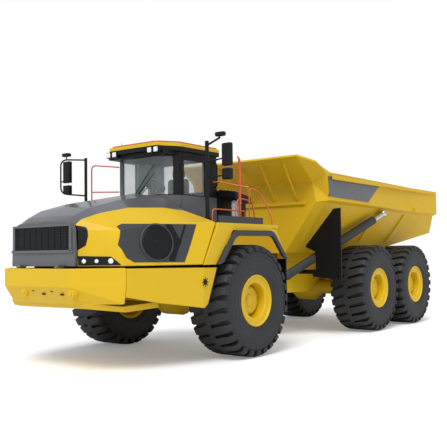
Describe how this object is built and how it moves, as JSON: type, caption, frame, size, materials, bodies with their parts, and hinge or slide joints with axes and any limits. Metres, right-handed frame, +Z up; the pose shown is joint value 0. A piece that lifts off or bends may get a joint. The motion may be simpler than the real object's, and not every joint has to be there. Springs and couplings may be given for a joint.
{
  "type": "articulated dump truck",
  "caption": "Articulated hauler: steered front unit with cab and tilting hood, swivel hitch, and a rear frame with tandem axles and a tipping open dump bed.",
  "frame": {"origin": "on the ground below the middle of the machine's bounding box", "axes": "+X forward, +Y to the machine's left, +Z up"},
  "size_m": [12.34, 4.1, 3.9824],
  "materials": {
    "yellow_paint": "semi-gloss",
    "tyre_rubber": "matte",
    "black_parts": "matte",
    "grey_paint": "semi-gloss",
    "orange_rail": "semi-gloss",
    "glass": "clear",
    "chrome_rod": "polished",
    "seat_fabric": "woven"
  },
  "bodies": {
    "tractor": {"front_frame": "yellow_paint", "front_axle": "yellow_paint", "engine_block": "grey_paint", "front_bumper": "yellow_paint", "side_skirt_left": "yellow_paint", "side_skirt_right": "yellow_paint", "fender_left": "yellow_paint", "fender_right": "yellow_paint", "arch_flare_left": "grey_paint", "arch_flare_right": "grey_paint", "mudflap_left": "black_parts", "mudflap_right": "black_parts", "cab_shell": "grey_paint", "cab_roof": "yellow_paint", "windshield": "glass", "rear_window": "glass", "side_window_right": "glass", "side_window_right_rear": "glass", "driver_seat": "seat_fabric", "steering_column": "black_parts", "handrail_left": "orange_rail", "handrail_right": "orange_rail", "step_rail_left": "orange_rail", "step_rail_right": "orange_rail", "mirror_left": "black_parts", "mirror_right": "black_parts", "exhaust_and_cleaner": "black_parts"},
    "hood": {"hood": "yellow_paint", "grille": "black_parts"},
    "cab_door": {"cab_door": "grey_paint", "door_glass": "glass"},
    "hitch_yoke": {"hitch_yoke": "yellow_paint"},
    "rear_frame": {"rear_frame": "yellow_paint", "middle_axle": "yellow_paint", "rear_axle": "yellow_paint", "bogie_beam_left": "yellow_paint", "bogie_beam_right": "yellow_paint", "mudguard_left": "black_parts", "mudguard_right": "black_parts"},
    "dump_bed": {"dump_bed": "yellow_paint"},
    "hoist_barrel_left": {"hoist_barrel_left": "grey_paint"},
    "hoist_rod_left": {"hoist_rod_left": "chrome_rod"},
    "steering_barrel_left": {"steering_barrel_left": "grey_paint"},
    "steering_rod_left": {"steering_rod_left": "chrome_rod"},
    "front_left_wheel": {"front_left_tyre": "tyre_rubber", "front_left_rim": "yellow_paint"},
    "middle_left_wheel": {"middle_left_tyre": "tyre_rubber", "middle_left_rim": "yellow_paint"},
    "rear_left_wheel": {"rear_left_tyre": "tyre_rubber", "rear_left_rim": "yellow_paint"},
    "hoist_barrel_right": {"hoist_barrel_right": "grey_paint"},
    "hoist_rod_right": {"hoist_rod_right": "chrome_rod"},
    "steering_barrel_right": {"steering_barrel_right": "grey_paint"},
    "steering_rod_right": {"steering_rod_right": "chrome_rod"},
    "front_right_wheel": {"front_right_tyre": "tyre_rubber", "front_right_rim": "yellow_paint"},
    "middle_right_wheel": {"middle_right_tyre": "tyre_rubber", "middle_right_rim": "yellow_paint"},
    "rear_right_wheel": {"rear_right_tyre": "tyre_rubber", "rear_right_rim": "yellow_paint"}
  },
  "joints": [
    {"name": "front_left_wheel_spin", "type": "hinge", "parent": "tractor", "child": "front_left_wheel", "pos_m": [2.78, 1.625, 1.03], "axis": [0, 1, 0], "continuous": true},
    {"name": "front_right_wheel_spin", "type": "hinge", "parent": "tractor", "child": "front_right_wheel", "pos_m": [2.78, -1.625, 1.03], "axis": [0, 1, 0], "continuous": true},
    {"name": "middle_left_wheel_spin", "type": "hinge", "parent": "rear_frame", "child": "middle_left_wheel", "pos_m": [-2.32, 1.625, 1.03], "axis": [0, 1, 0], "continuous": true},
    {"name": "middle_right_wheel_spin", "type": "hinge", "parent": "rear_frame", "child": "middle_right_wheel", "pos_m": [-2.32, -1.625, 1.03], "axis": [0, 1, 0], "continuous": true},
    {"name": "rear_left_wheel_spin", "type": "hinge", "parent": "rear_frame", "child": "rear_left_wheel", "pos_m": [-4.485, 1.625, 1.03], "axis": [0, 1, 0], "continuous": true},
    {"name": "rear_right_wheel_spin", "type": "hinge", "parent": "rear_frame", "child": "rear_right_wheel", "pos_m": [-4.485, -1.625, 1.03], "axis": [0, 1, 0], "continuous": true},
    {"name": "steering", "type": "hinge", "parent": "tractor", "child": "hitch_yoke", "pos_m": [1.28, 0, 1.38], "axis": [0, 0, 1], "range_deg": [-45, 45]},
    {"name": "frame_swivel", "type": "hinge", "parent": "hitch_yoke", "child": "rear_frame", "pos_m": [0.48, 0, 1.38], "axis": [1, 0, 0], "range_deg": [-15, 15]},
    {"name": "bed_tip", "type": "hinge", "parent": "rear_frame", "child": "dump_bed", "pos_m": [-5.22, 0, 1.85], "axis": [0, -1, 0], "range_deg": [0, 70]},
    {"name": "cab_door_swing", "type": "hinge", "parent": "tractor", "child": "cab_door", "pos_m": [3.49, 0.8123, 2.58], "axis": [0, 0, -1], "range_deg": [0, 85]},
    {"name": "hood_lift", "type": "hinge", "parent": "tractor", "child": "hood", "pos_m": [6.13, 0, 1.7103], "axis": [0, 1, 0], "range_deg": [0, 65]},
    {"name": "hoist_left_pivot", "type": "hinge", "parent": "rear_frame", "child": "hoist_barrel_left", "pos_m": [0.14, 0.97, 1.4], "axis": [0.4814, 0.377, 0.7913], "range_deg": [-1, 8.1]},
    {"name": "hoist_left_stroke", "type": "slide", "parent": "hoist_barrel_left", "child": "hoist_rod_left", "axis": [-0.8753, 0.2529, 0.4121], "range_m": [-0.01, 2.8058]},
    {"name": "steering_left_pivot", "type": "hinge", "parent": "tractor", "child": "steering_barrel_left", "pos_m": [2.43, 0.74, 1.25], "axis": [0, 0, 1], "range_deg": [-8, 8]},
    {"name": "steering_left_stroke", "type": "slide", "parent": "steering_barrel_left", "child": "steering_rod_left", "axis": [-0.9727, -0.2323, 0], "range_m": [-0.36, 0.36]},
    {"name": "hoist_right_pivot", "type": "hinge", "parent": "rear_frame", "child": "hoist_barrel_right", "pos_m": [0.14, -0.97, 1.4], "axis": [-0.4814, 0.377, -0.7913], "range_deg": [-1, 8.1]},
    {"name": "hoist_right_stroke", "type": "slide", "parent": "hoist_barrel_right", "child": "hoist_rod_right", "axis": [-0.8753, -0.2529, 0.4121], "range_m": [-0.01, 2.8058]},
    {"name": "steering_right_pivot", "type": "hinge", "parent": "tractor", "child": "steering_barrel_right", "pos_m": [2.43, -0.74, 1.25], "axis": [0, 0, 1], "range_deg": [-8, 8]},
    {"name": "steering_right_stroke", "type": "slide", "parent": "steering_barrel_right", "child": "steering_rod_right", "axis": [-0.9727, 0.2323, 0], "range_m": [-0.36, 0.36]}
  ],
  "couplings": [
    {"joint": "hoist_left_pivot", "follows": "bed_tip", "ratio": 0.10136},
    {"joint": "hoist_left_stroke", "follows": "bed_tip", "m_per_rad": 2.2884},
    {"joint": "steering_left_pivot", "follows": "steering", "ratio": 0.057979},
    {"joint": "steering_left_stroke", "follows": "steering", "m_per_rad": 0.41314},
    {"joint": "hoist_right_pivot", "follows": "bed_tip", "ratio": 0.10136},
    {"joint": "hoist_right_stroke", "follows": "bed_tip", "m_per_rad": 2.2884},
    {"joint": "steering_right_pivot", "follows": "steering", "ratio": 0.057979},
    {"joint": "steering_right_stroke", "follows": "steering", "m_per_rad": -0.41314}
  ]
}
